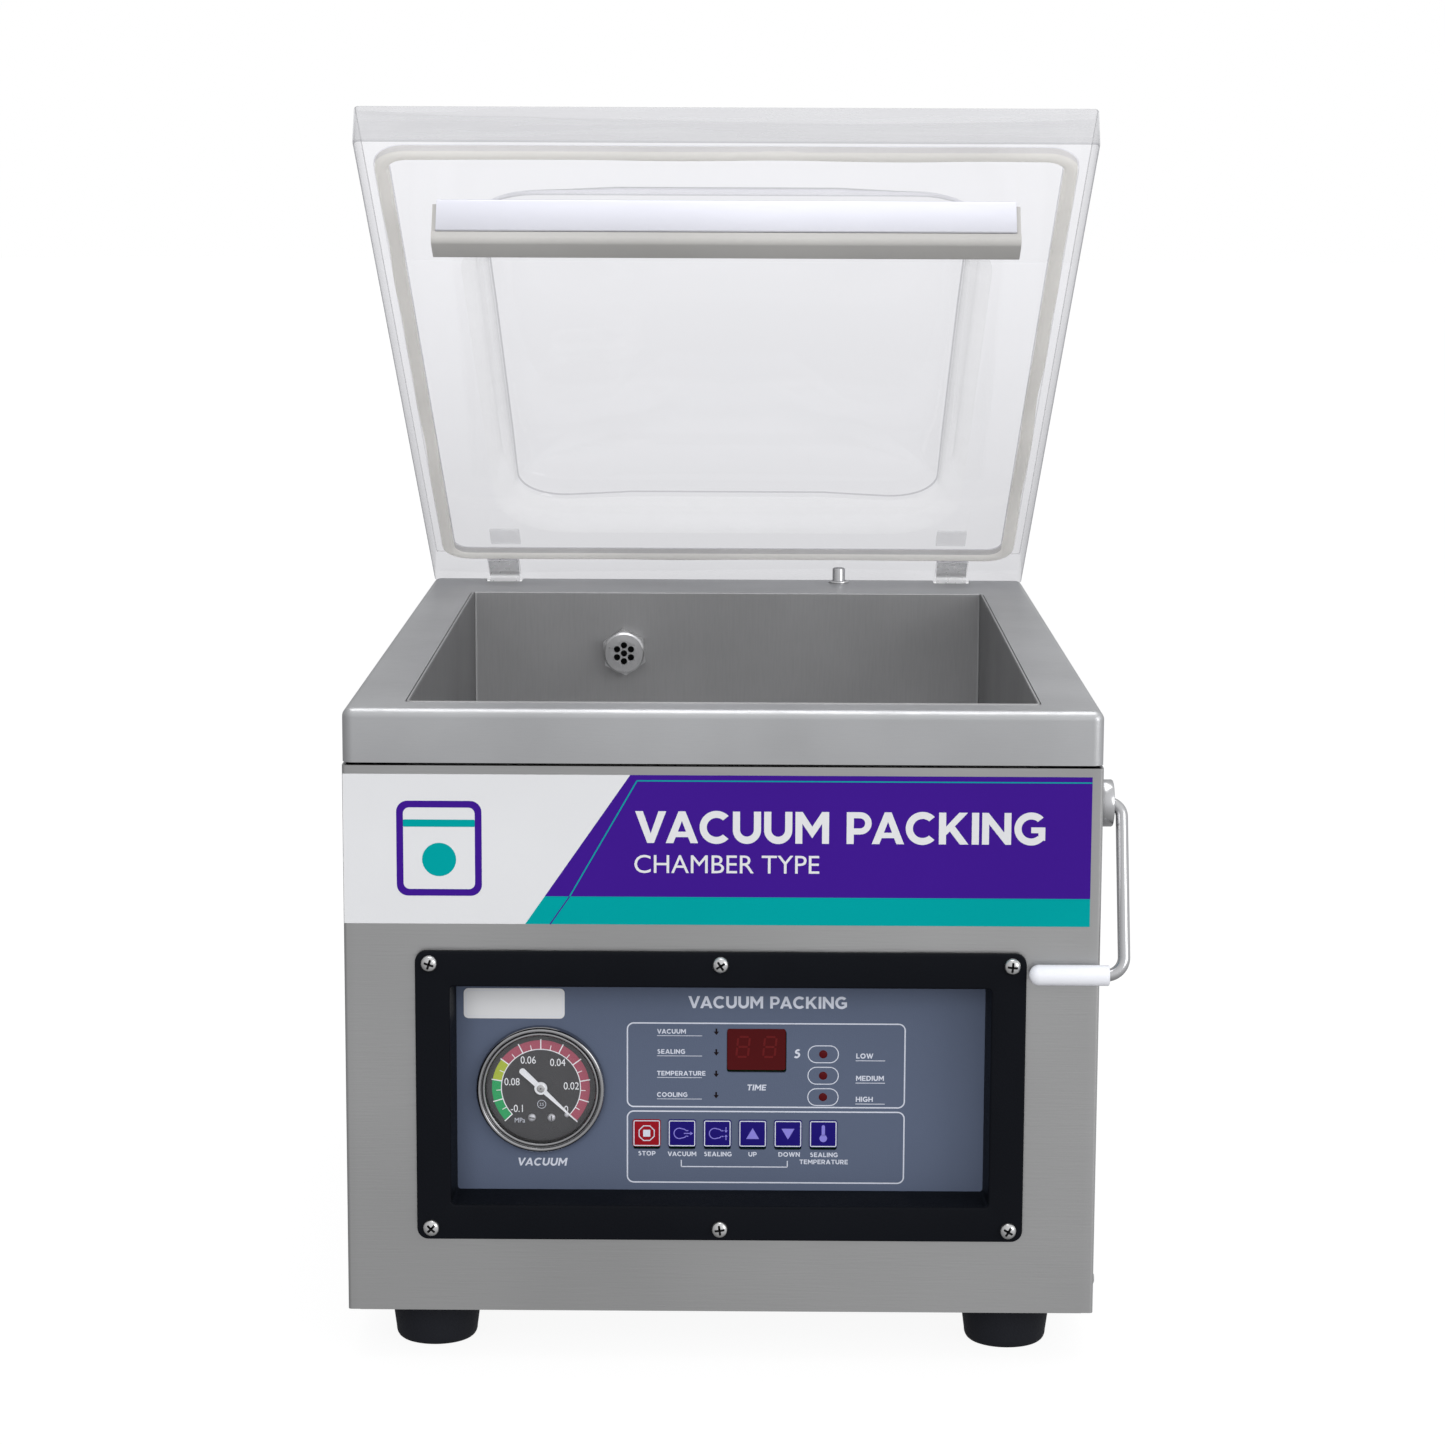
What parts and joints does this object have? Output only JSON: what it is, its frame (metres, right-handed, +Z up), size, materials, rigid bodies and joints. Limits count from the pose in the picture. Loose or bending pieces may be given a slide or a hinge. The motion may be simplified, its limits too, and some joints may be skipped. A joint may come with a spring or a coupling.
{
  "type": "vacuum chamber sealer",
  "caption": "Tabletop vacuum chamber packing machine: steel body with a deep chamber, clear domed lid on a sprung rear hinge, side lever, lifting seal bar, dial gauge and key panel.",
  "frame": {"origin": "middle of the bounding box on the floor, under the feet, with the lid open and the lever down", "axes": "+Z up, -Y towards the user and the control panel, +X to the side with the lever"},
  "size_m": [0.3458, 0.5033, 0.5562],
  "materials": {
    "stainless": "satin",
    "chamber_steel": "satin",
    "polished_steel": "polished",
    "aluminium": "anodised",
    "spring_steel": "satin",
    "heating_strip": "satin",
    "black_plastic": "satin",
    "black_rubber": "matte",
    "panel_overlay": "satin",
    "key_red": "satin",
    "key_blue": "satin",
    "display_red": "glossy",
    "dial_grey": "matte",
    "needle_white": "matte",
    "gauge_glass": "clear",
    "clear_acrylic": "clear",
    "gasket_silicone": "matte",
    "bar_silicone": "matte",
    "white_grip": "glossy",
    "circuit_board": "satin",
    "pump_paint": "painted",
    "vacuum_hose": "matte",
    "transformer": "varnished"
  },
  "bodies": {
    "machine": {"base_tray": "stainless", "front_panel": "stainless", "back_panel": "stainless", "left_side_panel": "stainless", "right_side_panel": "stainless", "deck": "stainless", "lid_switch_bush": "stainless", "hinge_bracket_left": "stainless", "hinge_bracket_right": "stainless", "chamber_tub": "chamber_steel", "suction_port": "polished_steel", "gauge_case": "polished_steel", "bezel_screw_1": "polished_steel", "bezel_screw_2": "polished_steel", "bezel_screw_3": "polished_steel", "bezel_screw_4": "polished_steel", "bezel_screw_5": "polished_steel", "bezel_screw_6": "polished_steel", "lift_cylinder_left": "aluminium", "lift_cylinder_right": "aluminium", "solenoid_valve": "aluminium", "lid_spring_left": "spring_steel", "lid_spring_right": "spring_steel", "control_bezel": "black_plastic", "power_inlet": "black_plastic", "foot_front_left": "black_rubber", "foot_front_right": "black_rubber", "foot_back_left": "black_rubber", "foot_back_right": "black_rubber", "control_panel_plate": "panel_overlay", "display_window": "display_red", "gauge_dial": "dial_grey", "gauge_lens": "gauge_glass", "control_board": "circuit_board", "pump_motor": "pump_paint", "pump_head": "pump_paint", "vacuum_hose": "vacuum_hose", "transformer": "transformer"},
    "lid": {"lid": "clear_acrylic", "lid_gasket": "gasket_silicone", "pressure_bar_channel": "aluminium", "pressure_bar_rubber": "bar_silicone", "hinge_strap_left": "polished_steel", "hinge_strap_right": "polished_steel", "hinge_shaft": "polished_steel"},
    "lever": {"lever_arm": "polished_steel", "lever_grip": "white_grip"},
    "lid_switch": {"lid_switch_pin": "polished_steel"},
    "sealing_bar": {"seal_bar": "aluminium", "heating_strip": "heating_strip", "lift_rod_left": "polished_steel", "lift_rod_right": "polished_steel"},
    "needle": {"gauge_needle": "needle_white"},
    "main_switch": {"main_switch_rocker": "black_plastic"},
    "key_stop": {"key_stop": "key_red"},
    "key_vacuum": {"key_vacuum": "key_blue"},
    "key_sealing": {"key_sealing": "key_blue"},
    "key_up": {"key_up": "key_blue"},
    "key_down": {"key_down": "key_blue"},
    "key_temperature": {"key_temperature": "key_blue"}
  },
  "joints": [
    {"name": "lid_hinge", "type": "hinge", "parent": "machine", "child": "lid", "pos_m": [-0.00588, 0.23145, 0.288], "axis": [1, 0, 0], "range_deg": [0, 31], "stiffness_Nm_per_rad": 7, "springref_deg": -77.35, "deforming": ["lid_spring_left", "lid_spring_right"]},
    {"name": "lever_hinge", "type": "hinge", "parent": "machine", "child": "lever", "pos_m": [0.16143, -0.22055, 0.2518], "axis": [-1, 0, 0], "range_deg": [0, 184]},
    {"name": "lid_switch_slide", "type": "slide", "parent": "machine", "child": "lid_switch", "axis": [0, 0, -1], "range_m": [0, 0.0066]},
    {"name": "seal_bar_lift", "type": "slide", "parent": "machine", "child": "sealing_bar", "axis": [0, 0, 1], "range_m": [0, 0.006]},
    {"name": "gauge_needle_turn", "type": "hinge", "parent": "machine", "child": "needle", "pos_m": [-0.08707, -0.22375, 0.1208], "axis": [0, -1, 0], "range_deg": [0, 267], "stiffness_Nm_per_rad": 0.0002, "springref_deg": -17.19},
    {"name": "main_switch_rock", "type": "hinge", "parent": "machine", "child": "main_switch", "pos_m": [-0.11588, 0.23475, 0.102], "axis": [0, 0, -1], "range_deg": [0, 16]},
    {"name": "key_stop_press", "type": "slide", "parent": "machine", "child": "key_stop", "axis": [0, 1, 0], "range_m": [0, 0.0005], "stiffness_N_per_m": 900, "springref_m": -0.0004},
    {"name": "key_vacuum_press", "type": "slide", "parent": "machine", "child": "key_vacuum", "axis": [0, 1, 0], "range_m": [0, 0.0005], "stiffness_N_per_m": 900, "springref_m": -0.0004},
    {"name": "key_sealing_press", "type": "slide", "parent": "machine", "child": "key_sealing", "axis": [0, 1, 0], "range_m": [0, 0.0005], "stiffness_N_per_m": 900, "springref_m": -0.0004},
    {"name": "key_up_press", "type": "slide", "parent": "machine", "child": "key_up", "axis": [0, 1, 0], "range_m": [0, 0.0005], "stiffness_N_per_m": 900, "springref_m": -0.0004},
    {"name": "key_down_press", "type": "slide", "parent": "machine", "child": "key_down", "axis": [0, 1, 0], "range_m": [0, 0.0005], "stiffness_N_per_m": 900, "springref_m": -0.0004},
    {"name": "key_temperature_press", "type": "slide", "parent": "machine", "child": "key_temperature", "axis": [0, 1, 0], "range_m": [0, 0.0005], "stiffness_N_per_m": 900, "springref_m": -0.0004}
  ],
  "couplings": [
    {"joint": "lid_switch_slide", "follows": "lid_hinge", "m_per_rad": 0.01219}
  ]
}
